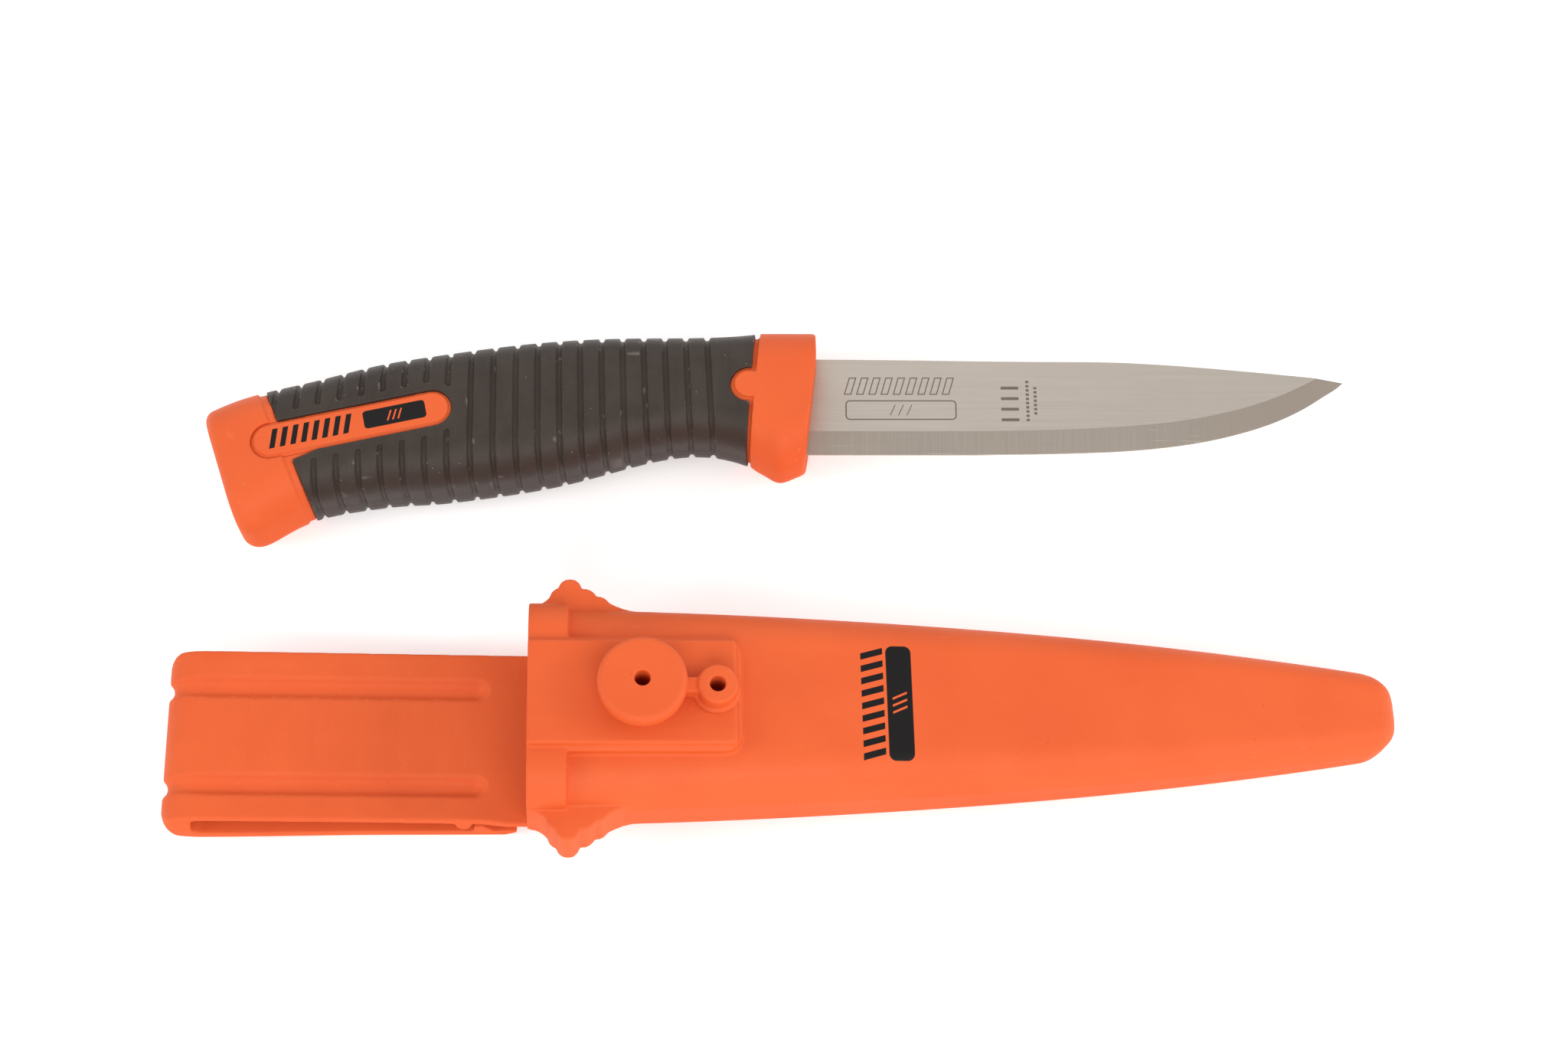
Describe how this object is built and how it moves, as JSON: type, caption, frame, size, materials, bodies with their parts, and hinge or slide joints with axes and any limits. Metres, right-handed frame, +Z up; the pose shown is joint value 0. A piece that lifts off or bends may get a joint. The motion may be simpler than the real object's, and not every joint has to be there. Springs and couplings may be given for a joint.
{
  "type": "rigging knife with sheath",
  "caption": "Fixed-blade rigging knife with a ribbed soft grip, lying beside its moulded sheath with a spring belt clip and a mushroom button.",
  "frame": {"origin": "middle of the bounding box of knife and sheath, at table height", "axes": "+X along the sheath from its mouth to its tip, +Y from the sheath towards the knife, +Z up"},
  "size_m": [0.2252, 0.1033, 0.0381],
  "materials": {
    "blade_steel": "satin, brushed along the blade",
    "handle_plastic": "fine spark-eroded texture, orange",
    "grip_rubber": "satin black-brown soft rubber",
    "sheath_plastic": "fine moulded texture, orange"
  },
  "bodies": {
    "sheath": {"sheath_shell": "sheath_plastic", "button_stud": "sheath_plastic", "belt_strap": "sheath_plastic"},
    "knife": {"blade": "blade_steel", "handle_core": "handle_plastic", "grip_overmould": "grip_rubber", "side_plate_left": "handle_plastic", "side_plate_right": "handle_plastic"},
    "spring_leg": {"clip_leg": "sheath_plastic"}
  },
  "joints": [
    {"name": "knife_draw", "type": "slide", "parent": "sheath", "child": "knife", "axis": [-0.9971, 0, 0.0767], "range_m": [0, 0.15]},
    {"name": "clip_flex", "type": "hinge", "parent": "sheath", "child": "spring_leg", "pos_m": [-0.11262, -0.0272, 0.00933], "axis": [0, 1, 0], "range_deg": [0, 5], "stiffness_Nm_per_rad": 8}
  ]
}
